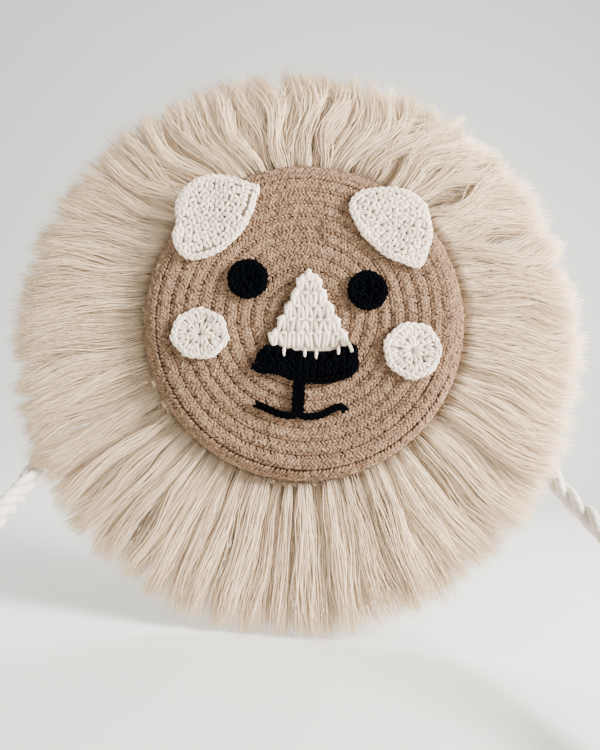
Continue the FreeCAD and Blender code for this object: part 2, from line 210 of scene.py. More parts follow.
def yarn_piece(name, parts, material, body, replaced=()):
    """A piece of yarn work made of stamped and swept parts."""
    points, faces, shade, fibre = join_parts(parts)
    mesh = bpy.data.meshes.new(name)
    mesh.vertices.add(len(points))
    mesh.vertices.foreach_set("co", points.ravel().astype(np.float32))
    mesh.loops.add(faces.size)
    mesh.loops.foreach_set("vertex_index", faces.ravel().astype(np.int32))
    mesh.polygons.add(len(faces))
    mesh.polygons.foreach_set("loop_start", np.arange(0, faces.size, 3, dtype=np.int32))
    mesh.polygons.foreach_set("use_smooth", np.ones(len(faces), dtype=bool))
    mesh.update(calc_edges=True)
    mesh.attributes.new("shade", "FLOAT", "POINT").data.foreach_set("value", shade.astype(np.float32))
    vectors = mesh.attributes.new("fibre", "FLOAT_VECTOR", "POINT")
    vectors.data.foreach_set("vector", fibre.ravel().astype(np.float32))
    mesh.materials.append(material)
    obj = bpy.data.objects.new(name, mesh)
    bpy.context.scene.collection.objects.link(obj)
    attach(obj, body)
    if replaced:
        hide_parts(*replaced)
    return obj


# ---------------------------------------------------------------- material helpers
def new_group(name, inputs, outputs):
    """A node group whose sockets are colours or numbers, with its input and output nodes."""
    group = bpy.data.node_groups.new(name, "ShaderNodeTree")
    for label, value in inputs.items():
        kind = "NodeSocketColor" if isinstance(value, tuple) else "NodeSocketFloat"
        group.interface.new_socket(name=label, in_out="INPUT", socket_type=kind).default_value = value
    for label in outputs:
        kind = "NodeSocketColor" if label == "Colour" else "NodeSocketFloat"
        group.interface.new_socket(name=label, in_out="OUTPUT", socket_type=kind)
    return group, group.nodes.new("NodeGroupInput"), group.nodes.new("NodeGroupOutput")


def feed(tree, socket, value):
    """Sets a socket to a value, or links another node's output to it."""
    if isinstance(value, bpy.types.NodeSocket):
        tree.links.new(value, socket)
    else:
        socket.default_value = value


def math_node(tree, operation, first, second):
    node = tree.nodes.new("ShaderNodeMath")
    node.operation = operation
    feed(tree, node.inputs[0], first)
    feed(tree, node.inputs[1], second)
    return node.outputs[0]


def mix_colours(tree, factor, first, second):
    node = tree.nodes.new("ShaderNodeMix")
    node.data_type = "RGBA"
    for socket, value in zip((node.inputs[0], node.inputs[6], node.inputs[7]), (factor, first, second)):
        feed(tree, socket, value)
    return node.outputs[2]


def noise(tree, vector, scale, detail):
    node = tree.nodes.new("ShaderNodeTexNoise")
    node.inputs["Detail"].default_value = detail
    feed(tree, node.inputs["Scale"], scale)
    feed(tree, node.inputs["Vector"], vector)
    return node.outputs["Fac"]


def stretched(tree, vector, scale):
    node = tree.nodes.new("ShaderNodeMapping")
    node.inputs["Scale"].default_value = scale
    feed(tree, node.inputs["Vector"], vector)
    return node.outputs["Vector"]


def attribute(tree, name, output):
    node = tree.nodes.new("ShaderNodeAttribute")
    node.attribute_name = name
    return node.outputs[output]


def object_place(tree):
    return tree.nodes.new("ShaderNodeTexCoord").outputs["Object"]


DARK_GREY = (0.1, 0.1, 0.1, 1)
LIGHT_GREY = (0.8, 0.8, 0.8, 1)


def yarn_group():
    """Fibres that run along the yarn: streaks, a tone per stitch, and slow mottling over the piece."""
    inputs = {"Dark": DARK_GREY, "Light": LIGHT_GREY, "Streak scale": 4.0, "Streak share": 0.4, "Mottle scale": 30.0}
    group, start, end = new_group("yarn_fibres", inputs, ["Colour", "Height"])
    along_yarn = stretched(group, attribute(group, "fibre", "Vector"), (0.14, 1.0, 1.0))
    streaks = noise(group, along_yarn, start.outputs["Streak scale"], 3.0)
    mottle = noise(group, object_place(group), start.outputs["Mottle scale"], 2.0)
    centred = math_node(group, "SUBTRACT", streaks, 0.5)
    streak_tone = math_node(group, "MULTIPLY", centred, start.outputs["Streak share"])
    mottle_tone = math_node(group, "MULTIPLY", math_node(group, "SUBTRACT", mottle, 0.5), 0.9)
    tone = math_node(group, "ADD", math_node(group, "MULTIPLY", streak_tone, 4.0), mottle_tone)
    total = math_node(group, "ADD", tone, attribute(group, "shade", "Fac"))
    clamped = group.nodes.new("ShaderNodeClamp")
    feed(group, clamped.inputs["Value"], total)
    colour = mix_colours(group, clamped.outputs[0], start.outputs["Dark"], start.outputs["Light"])
    feed(group, end.inputs["Colour"], colour)
    feed(group, end.inputs["Height"], streaks)
    return group


def weave_group():
    """Plain weave on Object coordinates, as threads that cross, with a little unevenness; its colour darkens where the
    threads dip, as painted shade between them.
    """
    inputs = {"Dark": DARK_GREY, "Light": LIGHT_GREY, "Threads": 400.0}
    group, start, end = new_group("plain_weave", inputs, ["Colour", "Height"])
    place = object_place(group)
    threads = []
    for axis in "XYZ":
        wave = group.nodes.new("ShaderNodeTexWave")
        wave.bands_direction = axis
        wave.inputs["Distortion"].default_value = 1.2
        wave.inputs["Detail Scale"].default_value = 0.6
        feed(group, wave.inputs["Scale"], start.outputs["Threads"])
        feed(group, wave.inputs["Vector"], place)
        threads.append(wave.outputs["Fac"])
    crossed = math_node(group, "MULTIPLY", math_node(group, "MULTIPLY", threads[0], threads[2]), 0.7)
    height = math_node(group, "ADD", crossed, math_node(group, "MULTIPLY", threads[1], 0.3))
    soil = noise(group, place, 25.0, 3.0)
    # The colour follows the threads' height: painted shade where they dip, with random mottling added.
    tone = math_node(group, "MULTIPLY", math_node(group, "ADD", height, soil), 0.75)
    feed(group, end.inputs["Colour"], mix_colours(group, tone, start.outputs["Dark"], start.outputs["Light"]))
    feed(group, end.inputs["Height"], height)
    return group


def surface_group():
    """Fine scratches and handling marks on metal or moulded plastic."""
    inputs = {"Base": (0.5, 0.5, 0.5, 1), "Worn": LIGHT_GREY, "Roughness": 0.35}
    group, start, end = new_group("handling_marks", inputs, ["Colour", "Roughness", "Height"])
    place = object_place(group)
    scratches = noise(group, stretched(group, place, (1.0, 0.15, 1.0)), 2500.0, 3.0)
    marks = noise(group, place, 220.0, 3.0)
    rough = math_node(group, "ADD", start.outputs["Roughness"], math_node(group, "MULTIPLY", marks, 0.15))
    feed(group, end.inputs["Colour"], mix_colours(group, marks, start.outputs["Base"], start.outputs["Worn"]))
    feed(group, end.inputs["Roughness"], rough)
    feed(group, end.inputs["Height"], scratches)
    return group


YARN = yarn_group()
WEAVE = weave_group()
MARKS = surface_group()


def grouped_material(name, group, values, roughness, bump, sheen=0.0, metallic=0.0):
    """A material whose colour and bump come from one of the shared groups."""
    material = bpy.data.materials.new(name)
    material.use_nodes = True
    tree = material.node_tree
    shader = tree.nodes["Principled BSDF"]
    shader.inputs["Roughness"].default_value = roughness
    shader.inputs["Metallic"].default_value = metallic
    shader.inputs["Sheen Weight"].default_value = sheen
    shader.inputs["Sheen Roughness"].default_value = 0.5
    shader.inputs["Specular IOR Level"].default_value = 0.2 if metallic == 0 else 0.5
    effect = tree.nodes.new("ShaderNodeGroup")
    effect.node_tree = group
    for label, value in values.items():
        effect.inputs[label].default_value = value
    tree.links.new(effect.outputs["Colour"], shader.inputs["Base Color"])
    if "Roughness" in effect.outputs:
        tree.links.new(effect.outputs["Roughness"], shader.inputs["Roughness"])
    relief = tree.nodes.new("ShaderNodeBump")
    relief.inputs["Strength"].default_value = bump
    relief.inputs["Distance"].default_value = 0.3 * MM
    tree.links.new(effect.outputs["Height"], relief.inputs["Height"])
    tree.links.new(relief.outputs["Normal"], shader.inputs["Normal"])
    return material


def yarn_material(name, dark, light, streak_scale, streak_share, mottle_scale, roughness, bump, sheen):
    values = {
        "Dark": (*dark, 1),
        "Light": (*light, 1),
        "Streak scale": streak_scale,
        "Streak share": streak_share,
        "Mottle scale": mottle_scale,
    }
    return grouped_material(name, YARN, values, roughness, bump, sheen)


JUTE = yarn_material("braided_jute", (0.118, 0.066, 0.037), (0.265, 0.160, 0.094), 4.2, 0.42, 22, 0.95, 0.9, 0.03)
JUTE_HAIR = yarn_material("loose_jute_fibres", (0.20, 0.115, 0.062), (0.70, 0.50, 0.32), 2.0, 0.2, 40, 0.8, 0.2, 0.1)
FRINGE = yarn_material(
    "brushed_cotton_fringe", (0.50, 0.345, 0.21), (1.0, 0.80, 0.565), 2.0, 0.12, 16, 0.9, 0.2, 0.05
)
# The dark end lies far below the yarn's own colour: the pads under the stitches use it as painted shade in the holes.
WHITE_YARN = yarn_material(
    "white_crochet_cotton", (0.085, 0.060, 0.042), (0.88, 0.725, 0.58), 2.6, 0.10, 35, 0.9, 0.5, 0.04
)
BLACK_YARN = yarn_material(
    "black_crochet_cotton", (0.0001, 0.00015, 0.0003), (0.0007, 0.001, 0.0017), 2.6, 0.3, 60, 1.0, 0.5, 0.0
)
BLACK_YARN.node_tree.nodes["Principled BSDF"].inputs["Specular IOR Level"].default_value = 0.02
ROPE_COTTON = yarn_material("twisted_rope_cotton", (0.50, 0.44, 0.38), (0.92, 0.86, 0.78), 1.6, 0.35, 25, 0.9, 0.7, 0.2)
THREAD = yarn_material("dark_sewing_thread", (0.06, 0.035, 0.02), (0.14, 0.085, 0.055), 3.0, 0.2, 50, 0.7, 0.3, 0.0)


def weave_material(name, dark, light, threads, bump):
    values = {"Dark": (*dark, 1), "Light": (*light, 1), "Threads": threads}
    return grouped_material(name, WEAVE, values, 0.9, bump, 0.1)


LINING = weave_material("cotton_lining", (0.42, 0.37, 0.30), (0.78, 0.72, 0.62), 380, 0.5)
TAPE = weave_material("zip_tape_cloth", (0.30, 0.20, 0.13), (0.50, 0.36, 0.25), 700, 0.6)
WEB = weave_material("jute_webbing", (0.20, 0.12, 0.07), (0.55, 0.39, 0.26), 260, 0.9)


def marked_material(name, base, worn, roughness, metallic, bump):
    values = {"Base": (*base, 1), "Worn": (*worn, 1), "Roughness": roughness}
    return grouped_material(name, MARKS, values, roughness, bump, 0.0, metallic)


BRASS = marked_material("rolled_brass", (0.50, 0.34, 0.14), (0.72, 0.54, 0.28), 0.28, 1.0, 0.15)
ZIP_METAL = marked_material("zip_metal", (0.38, 0.30, 0.20), (0.62, 0.52, 0.38), 0.26, 1.0, 0.15)
ZIP_PLASTIC = marked_material("moulded_zip_teeth", (0.27, 0.18, 0.12), (0.36, 0.25, 0.17), 0.35, 0.0, 0.1)

NODE_FINISHES = {
    LINING: ["front_lining", "back_lining"],
    TAPE: ["zip_tape_front", "zip_tape_back"],
    ZIP_PLASTIC: ["zip_teeth_front", "zip_teeth_back"],
    ZIP_METAL: ["zip_slider", "zip_pull", "zip_closed_stop", "zip_open_stop"],
    BRASS: ["left_eyelet", "right_eyelet"],
}
for material, nodes in NODE_FINISHES.items():
    for node in nodes:
        for material_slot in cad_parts[node].material_slots:
            material_slot.material = material


# ---------------------------------------------------------------- strap
ROPE_LAY = 60 * MM
STRAP_ROUTE = [
    (-0.084, -0.021, 0), (-0.108, -0.021, 0), (-0.133, -0.021, -0.012), (-0.150, -0.021, -0.037),
    (-0.159, -0.022, -0.068), (-0.164, -0.032, -0.099), (-0.160, -0.063, -0.115), (-0.1515, -0.099, -0.119),
    (-0.145, -0.133, -0.128), (-0.141, -0.164, -0.149), (-0.134, -0.193, -0.172), (-0.112, -0.214, -0.1845),
    (-0.076, -0.219, -0.1845), (-0.037, -0.217, -0.1845), (0.005, -0.214, -0.1845), (0.046, -0.210, -0.1845),
    (0.084, -0.204, -0.1845), (0.122, -0.198, -0.183), (0.151, -0.177, -0.168), (0.167, -0.147, -0.145),
    (0.173, -0.113, -0.124), (0.173, -0.077, -0.108), (0.167, -0.042, -0.092), (0.159, -0.024, -0.062),
    (0.148, -0.021, -0.027), (0.130, -0.021, -0.006), (0.106, -0.021, 0), (0.084, -0.021, 0),
]


def nurbs_line(name, route, resolution, closed=False):
    """Points along a smooth NURBS spline whose control points are the route's."""
    curve = bpy.data.curves.new(name, "CURVE")
    curve.dimensions = "3D"
    spline = curve.splines.new("NURBS")
    spline.points.add(len(route) - 1)
    for point, place in zip(spline.points, route):
        point.co = (*place, 1)
    spline.order_u = 3
    spline.use_endpoint_u = not closed
    spline.use_cyclic_u = closed
    spline.resolution_u = resolution
    holder = bpy.data.objects.new(name, curve)
    bpy.context.scene.collection.objects.link(holder)
    bpy.context.view_layer.update()
    mesh = bpy.data.meshes.new_from_object(holder)
    line = np.array([v.co for v in mesh.vertices])
    bpy.data.meshes.remove(mesh)
    bpy.data.objects.remove(holder, do_unlink=True)
    return line


def steady_normals(line, first):
    """Normals carried along a line without twisting round it."""
    tangents = unit(np.gradient(line, axis=0))
    normals = np.empty_like(line)
    current = np.array(first, float)
    for index, tangent in enumerate(tangents):
        current = current - tangent * np.dot(current, tangent)
        current = current / np.linalg.norm(current)
        normals[index] = current
    return normals


def twisted_rope(line, radius, lay, plies, yarns, shades, first=(0, 1, 0)):
    """Plies that wind round a line; each ply shows the yarns twisted into it."""
    normals = steady_normals(line, first)
    tangents = unit(np.gradient(line, axis=0))
    sideways = np.cross(tangents, normals)
    ply_radius = radius / (1 + 1 / math.sin(math.pi / plies))
    offset = radius - ply_radius
    lobes = 1 + 0.07 * np.cos(TAU * np.arange(yarns * 3) / 3)
    radii = np.full((1, len(line)), ply_radius * 1.08)
    yarn_twist = -TAU / (lay * 0.9)
    parts = []
    for ply in range(plies):
        turn = TAU * (run_length(line) / lay + ply / plies)
        centre = line + offset * (np.cos(turn)[:, None] * normals + np.sin(turn)[:, None] * sideways)
        tone = np.array([shades[ply]])
        parts.append(sweep(centre[None], radii, yarns * 3, tone, normals[None], lobes, yarn_twist))
    return parts


strap_line = nurbs_line("strap_route", STRAP_ROUTE, 22)
strap = yarn_piece(
    "cotton_strap",
    twisted_rope(strap_line, STRAP_DIAMETER / 2, ROPE_LAY, 3, 7, (0.45, 0.6, 0.52)),
    ROPE_COTTON,
    "back_half",
    ["strap_rope"],
)


def overhand_knot(side, name, node):
    """The strap's stopper knot, drawn up tight."""
    low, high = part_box(node)
    centre = (np.array(low) + np.array(high)) / 2
    t = np.linspace(0, TAU, 73)[:-1]
    size = 3.4 * MM
    y = size * (np.sin(t) + 2 * np.sin(2 * t)) * 0.85
    z = size * (np.cos(t) - 2 * np.cos(2 * t)) * 0.85
    line = centre + np.stack([0.9 * size * np.sin(3 * t), y, z], axis=1) * np.array([side, 1, 1])
    rope = twisted_rope(line, 4.6 * MM, 22 * MM, 3, 5, (0.4, 0.55, 0.5), first=(1, 0, 0))
    return yarn_piece(name, rope, ROPE_COTTON, "back_half", [node])


left_knot = overhand_knot(-1, "left_stopper_knot", "left_strap_knot")
right_knot = overhand_knot(1, "right_stopper_knot", "right_strap_knot")


# ---------------------------------------------------------------- coiled jute shells
COIL_START = 3 * MM
LINE_SAMPLES = 60000
CORE_PITCH = 4.5 * MM
CORE_RADIUS = 4.15 * MM
RIM_FILE = 4  # files further out than this, in millimetres, only show where the rim turns


def rim_profile(distance):
    """Radius, depth below the outer face and outward lean of the cord's centre, by distance from the middle."""
    flat = BAG_RADIUS - RIM_CORNER
    bend = RIM_CORNER - CORD / 2
    lean = np.clip((distance - flat) / bend, 0, math.pi / 2)
    past = np.clip(distance - flat - bend * math.pi / 2, 0, None)
    radius = np.where(distance < flat, distance, flat + bend * np.sin(lean))
    depth = np.where(distance < flat, CORD / 2, RIM_CORNER - bend * np.cos(lean) + past)
    return radius, depth, lean


def coil_frames(face_y, inwards, last_depth, step):
    """Even steps along one long spiral of cord: places, directions and outward normals."""
    end = BAG_RADIUS - RIM_CORNER + (RIM_CORNER - CORD / 2) * math.pi / 2 + last_depth - RIM_CORNER
    turn = np.linspace(TAU * COIL_START / CORD, TAU * end / CORD, LINE_SAMPLES)
    radius, depth, lean = rim_profile(turn * CORD / TAU)
    line = np.stack([radius * np.cos(turn), face_y + inwards * depth, radius * np.sin(turn)], axis=1)
    length = run_length(line)
    even = np.arange(0, length[-1], step)
    turn_at = np.interp(even, length, turn)
    places = np.stack([np.interp(even, length, line[:, axis]) for axis in range(3)], axis=1)
    lean_at = np.interp(even, length, lean)
    x, z = np.sin(lean_at) * np.cos(turn_at), np.sin(lean_at) * np.sin(turn_at)
    return places, unit(np.gradient(places, axis=0)), np.stack([x, -inwards * np.cos(lean_at), z], axis=1)


def clear_of_eyelets(places):
    """Which places leave the eyelets in the bag's sides free."""
    away = np.hypot(places[:, 1] - EYELET_Y, places[:, 2])
    return (away > EYELET_CLEARANCE) | (np.abs(places[:, 0]) < BAG_RADIUS - 2 * CORD)


# Files of legs on the cord: sideways place and lift in millimetres, lean in degrees between them.
FRONT_FILES = [(-3.0, -23, 2.7), (-1.0, -7, 3.3), (1.0, 7, 3.3), (3.0, 23, 2.7), (4.4, 34, 2.2), (-4.4, -34, 2.2)]
BACK_FILES = [(-1.95, -15, 3.0), (1.95, 15, 3.0)]


def jute_shell(name, coil, seed, body, node, strays, files, pitch, leg, leg_size, painted_seam_shade):
    """A coil of braided cord in three pieces: its core and first files, the other files, and loose fibres."""
    rng = np.random.default_rng(seed)
    places, along, outward = coil_frames(*coil, CORE_PITCH)
    core_line = places[None] - outward[None] * 0.9 * MM
    core_radii = np.full((1, len(places)), CORE_RADIUS)
    # The core is coloured darker than the legs on it: painted shade in the seams between the rows.
    core = sweep(core_line, core_radii, 8, np.array([painted_seam_shade]), normals=outward[None])
    pieces = []
    for number, (lateral, lean, lift) in enumerate(files):
        places, along, outward = coil_frames(*coil, pitch)
        side = 1 if number % 2 else -1
        places = places + along * (pitch / 4 * side + rng.normal(0, 0.25 * MM, (len(places), 1)))
        keep = clear_of_eyelets(places)
        if abs(lateral) > RIM_FILE:
            turn = outward @ FORWARDS
            keep &= (turn > 0.15) & (turn < 0.98)
        places, along, outward = places[keep], along[keep], outward[keep]
        across = np.cross(outward, along)
        tilt = math.radians(lean)
        normal = outward * math.cos(tilt) + across * math.sin(tilt)
        slant = np.radians(rng.normal(38, 11, (len(places), 1)))
        direction = along * np.cos(slant) - side * np.cross(normal, along) * np.sin(slant)
        size = np.array(leg_size) * MM * rng.uniform(0.82, 1.18, (len(places), 3))
        offset = outward * (lift * MM + rng.normal(0, 0.18 * MM, (len(places), 1)))
        centre = places + across * lateral * MM + offset
        shade = np.clip(rng.normal(0.55, 0.22, len(places)), 0.02, 1)
        pieces.append(stamp(leg, centre, direction, normal, size, shade))
    first = max(1, len(pieces) // 3)
    yarn_piece(name, [core] + pieces[:first], JUTE, body, [node])
    yarn_piece(f"{name}_braid", pieces[first:], JUTE, body)

    places, along, outward = coil_frames(*coil, 1 * MM)
    picks = rng.choice(np.flatnonzero(clear_of_eyelets(places)), strays, replace=False)
    places, along, outward = places[picks], along[picks], outward[picks]
    heading = rng.uniform(0, TAU, (strays, 1))
    direction = along * np.cos(heading) + np.cross(outward, along) * np.sin(heading)
    bend = np.cross(outward, direction) * rng.normal(0, 1.1 * MM, (strays, 1))
    s = np.linspace(-1, 1, 5)[None, :, None]
    reach = rng.uniform(1.4, 3.6, (strays, 1, 1)) * MM
    lift = rng.uniform(3.7, 4.3, (strays, 1, 1)) * MM
    rise = outward[:, None] * (lift - 0.5 * MM * s**2)
    lines = places[:, None] + direction[:, None] * s * reach + bend[:, None] * s**2 + rise
    radii = np.broadcast_to(np.array([0.05, 0.11, 0.12, 0.11, 0.04]) * MM, lines.shape[:2])
    normals = np.broadcast_to(outward[:, None], lines.shape)
    hairs = sweep(lines, radii, 3, rng.uniform(0.1, 1, strays), normals=normals)
    yarn_piece(f"{name}_fibres", [hairs], JUTE_HAIR, body)


# The cores' darker tone is painted shade in the seams between the rows.
jute_shell(
    "front_coil", (FACE_Y, 1, FRONT_EDGE_Y - FACE_Y - CORD / 2), seed=11, body="front_half", node="front_shell",
    strays=2400, files=FRONT_FILES, pitch=2.3 * MM, leg=SMALL_LEG, leg_size=(4.1, 2.0, 1.6), painted_seam_shade=0.2,
)
jute_shell(
    "back_coil", (0.0, -1, -BACK_EDGE_Y - CORD / 2), seed=12, body="back_half", node="back_shell",
    strays=900, files=BACK_FILES, pitch=2.55 * MM, leg=LEG, leg_size=(5.8, 2.35, 1.8), painted_seam_shade=0.25,
)


# ---------------------------------------------------------------- fringe mane
def smooth_wave(angle, seed, parts=5):
    """A slow, uneven wave round the bag, between about -1 and 1."""
    rng = np.random.default_rng(seed)
    total = np.zeros_like(angle)
    for number in range(1, parts + 1):
        total = total + np.sin(angle * (number * 2 + 1) + rng.uniform(0, TAU)) / math.sqrt(parts)
    return total


def edge_radius(angle):
    """How far the fringe reaches from the bag's axis, in the direction of an angle."""
    centre_x, centre_z = MANE_CENTRE
    along = centre_x * np.cos(angle) + centre_z * np.sin(angle)
    across = centre_x * np.sin(angle) - centre_z * np.cos(angle)
    return along + np.sqrt(MANE_RADIUS**2 - across**2)


PARTING = math.radians(95)
UPPER_RIGHT = math.radians(62)
STRAIGHT_DOWN = -math.pi / 2


def angle_from(direction, angle):
    """Angles measured from a direction, between minus and plus half a turn."""
    return np.remainder(angle - direction + math.pi, TAU) - math.pi


def fall(angle, s):
    """Sideways fall of the fringe on its way out: away from the parting on top, then down the sides."""
    off = angle_from(PARTING, angle)
    size = np.abs(off)
    near = np.sin(2 * np.minimum(size, math.pi / 4))
    swing = np.where(size < math.radians(45), near, np.exp(-(((size - math.pi / 4) / 0.95) ** 2)))
    left = s * (1.7 - 0.7 * s)
    right = s * s * (3 - 2 * s)
    course = np.where(off > 0, left, 0.35 * left + 0.65 * right)
    return np.sign(off) * swing * course * 23 * MM


def waviness(angle):
    """How strongly the locks wave: most on top and at the upper right, least where they hang below."""
    top_right = np.exp(-((angle_from(UPPER_RIGHT, angle) / 0.75) ** 2))
    below = np.exp(-((angle_from(STRAIGHT_DOWN, angle) / 0.8) ** 2))
    return (4.0 + 4.4 * top_right - 2.6 * below) * MM


LOCKS = 18
FIBRES = 46
FIBRE_POINTS = 9
STRAYS = 26
ABOVE_FLOOR = 0.4 * MM


def round_the_bag(radius, depth, angle, clearance):
    """Lines at a radius and angle round the bag's axis, kept above the floor."""
    lines = np.stack([radius * np.cos(angle), depth, radius * np.sin(angle)], axis=2)
    lines[:, :, 2] = np.maximum(lines[:, :, 2], FLOOR_Z + clearance)
    return lines


def mane_tuft(number):
    """One tuft of brushed cotton fringe: two bundles, their locks, and the fibres in each lock."""
    rng = np.random.default_rng(100 + number)
    step = TAU / MANE_TUFTS
    middle = step * (number - 0.5)
    s = np.linspace(0, 1, FIBRE_POINTS)
    lock = np.arange(LOCKS)
    bundle = np.where(lock < LOCKS // 2, -0.25, 0.25)
    place = (np.remainder(lock, LOCKS // 2) + 0.5) / (LOCKS // 2) - 0.5
    lock_root = middle + step * (bundle + place * 0.40) + rng.normal(0, 0.002, LOCKS)
    lock_tip = middle + step * (bundle + place * 0.52 + rng.normal(0, 0.12, LOCKS))
    lock_depth = rng.permutation(LOCKS) / (LOCKS - 1) - 0.5
    lock_length = rng.normal(0, 2.2 * MM, LOCKS) - 3.0 * MM * np.abs(lock_depth)
    lock_phase = 0.13 * rng.normal(0, 1, LOCKS)
    lock_size = rng.uniform(0.75, 1.35, LOCKS)
    # Each lock has its own random tone, and the locks further back are darker: painted shade under the front locks.
    lock_shade = rng.normal(0.60, 0.14, LOCKS) + 0.16 * lock_depth
    lock_bulge = rng.uniform(0.5, 4.0, LOCKS)
    lock_splay = rng.uniform(0.8, 2.4, LOCKS)
    lock_sway = rng.uniform(0.75, 1.35, LOCKS)

    # The locks at the back lie calm and wide, and close the gaps between the others.
    under = lock_depth < -0.05
    lock_phase = np.where(under, 0.2, 1.0) * lock_phase
    lock_sway = np.where(under, 1.0, lock_sway)
    lock_size = np.where(under, 1.5, lock_size)
    lock_tip = np.where(under, lock_root + 0.4 * (lock_tip - lock_root), lock_tip)
    owner = np.repeat(lock, FIBRES)
    count = len(owner)
    spread = rng.normal(0, 1, (count, 2))
    spread /= np.maximum(1, np.linalg.norm(spread, axis=1, keepdims=True) / 1.9)
    root = lock_root[owner]
    width = (1.25 + 0.9 * np.sin(math.pi * s)[None] + (lock_splay[owner, None] - 0.35) * s[None] ** 2) * MM
    width = width * lock_size[owner, None]
    tip_radius = edge_radius(root + fall(root, 1.0) / MANE_RADIUS)
    short = np.abs(rng.normal(0, 5.5 * MM, count)) - 2 * MM
    reach = tip_radius + lock_length[owner] - short
    lowest = np.maximum(0.05, -np.sin(root + (lock_tip - lock_root)[owner]))
    reach = np.minimum(reach, (-FLOOR_Z - ABOVE_FLOOR) / lowest)
    radius = ROOT_RADIUS + s[None] * (reach - ROOT_RADIUS)[:, None]
    swirl = smooth_wave(root, 5)[:, None] * 0.35 + lock_phase[owner, None]
    wave = np.sin(TAU * (1.05 * s[None] + swirl)) - np.sin(TAU * swirl)
    own_phase = rng.uniform(0, 1, (count, 1))
    turns = rng.uniform(1.2, 2.4, (count, 1))
    own_wave = np.sin(TAU * (turns * s[None] + own_phase)) - np.sin(TAU * own_phase)
    sideways = (
        fall(root[:, None], s[None])
        + waviness(root)[:, None] * lock_sway[owner, None] * wave * s[None] ** 0.8
        + spread[:, :1] * width
        + own_wave * rng.uniform(0.3, 1.25, (count, 1)) * MM
    )
    angle = root[:, None] + (lock_tip - lock_root)[owner, None] * s[None] ** 1.2 + sideways / radius
    bulge = lock_bulge[owner, None] * np.sin(math.pi * np.minimum(1, s[None] * 1.1)) * MM
    depth = (
        MANE_Y
        - lock_depth[owner, None] * (9.0 - 3.0 * s[None]) * MM
        - spread[:, 1:] * width * 0.75
        - bulge * (0.4 + lock_depth[owner, None])
        + own_wave[:, ::-1] * 0.35 * MM
    )
    depth = np.clip(depth, MANE_Y - 10 * MM, MANE_Y + 6.5 * MM)
    lines = round_the_bag(radius, depth, angle, ABOVE_FLOOR)
    taper = np.interp(s, [0, 0.15, 0.75, 1], [0.30, 0.26, 0.21, 0.05]) * MM
    radii = taper[None] * rng.uniform(0.8, 1.25, (count, 1))
    shade = np.clip(lock_shade[owner] + rng.normal(0, 0.11, count), 0, 1)
    # Painted light along each fibre: darker towards the root as painted shade, lighter towards the thin tip as a
    # painted highlight.
    shade = np.clip(shade[:, None] + 0.32 * (s[None] - 0.45), 0, 1)
    parts = [sweep(lines, radii, 3, shade)]

    picks = rng.choice(count, STRAYS, replace=False)
    wander = np.cumsum(rng.normal(0, 1.7 * MM, (STRAYS, FIBRE_POINTS)), axis=1) * s[None]
    stray_angle = angle[picks] + wander / radius[picks]
    stray_radius = radius[picks] + rng.uniform(0, 7, (STRAYS, 1)) * MM * s[None] ** 2
    stray_depth = depth[picks] - rng.uniform(0, 2.5, (STRAYS, 1)) * MM * s[None]
    stray = round_the_bag(stray_radius, stray_depth, stray_angle, 0.6 * MM)
    stray_radii = np.broadcast_to(np.interp(s, [0, 0.8, 1], [0.12, 0.10, 0.04]) * MM, stray.shape[:2])
    parts.append(sweep(stray, stray_radii, 3, rng.uniform(0.4, 1, STRAYS)))
    node = f"mane_tuft_{number:02d}"
    return yarn_piece(f"fringe_{number:02d}", parts, FRINGE, "front_half", [node])


for tuft in range(1, MANE_TUFTS + 1):
    mane_tuft(tuft)


def mane_header():
    """The header cord that the fringe is knotted on, with one looped knot for each bundle."""
    rng = np.random.default_rng(7)
    turn = np.linspace(0, TAU, 361)
    ring = np.stack([HEADER_RADIUS * np.cos(turn), np.full_like(turn, MANE_Y), HEADER_RADIUS * np.sin(turn)], axis=1)
    parts = twisted_rope(ring, 1.9 * MM, 9 * MM, 3, 3, (0.4, 0.5, 0.45))
    knots = 2 * MANE_TUFTS
    for depth, tilt in ((0.6, 0.2), (2.8, 0.0), (4.8, -0.2)):
        for half in (-1, 1):
            angle = TAU * (np.arange(knots) + 0.5) / knots + half * 2.6 * MM / HEADER_RADIUS
            outward = np.stack([np.cos(angle), np.zeros(knots), np.sin(angle)], axis=1)
            sideways = np.stack([-np.sin(angle), np.zeros(knots), np.cos(angle)], axis=1)
            centre = outward * (HEADER_RADIUS + 0.3 * MM) + np.array([0, MANE_Y + depth * MM, 0])
            direction = sideways * half + outward * 0.35 - FORWARDS * tilt * half
            size = np.array([6.0, 2.9, 3.4]) * MM * rng.uniform(0.9, 1.1, (knots, 3))
            shade = np.clip(rng.normal(0.6, 0.1, knots), 0, 1)
            parts.append(stamp(FINE_LEG, centre, direction, outward, size, shade))
    return yarn_piece("fringe_header", parts, FRINGE, "front_half", ["mane_header"])


mane_header()


# ---------------------------------------------------------------- crochet on the face
def inside(outline, points):
    """Which points lie inside a closed outline."""
    x, z = points[:, 0], points[:, 1]
    result = np.zeros(len(points), bool)
    for (x0, z0), (x1, z1) in zip(outline, np.roll(outline, -1, axis=0)):
        crosses = (z0 > z) != (z1 > z)
        result ^= crosses & (x < (x1 - x0) * (z - z0) / (z1 - z0 + 1e-12) + x0)
    return result


def smooth_outline(corners, resolution=8):
    """A closed, slightly rounded outline from its few corners, in millimetres."""
    route = [(x * MM, 0, z * MM) for x, z in corners]
    return nurbs_line("outline", route, resolution, closed=True)[:, [0, 2]]


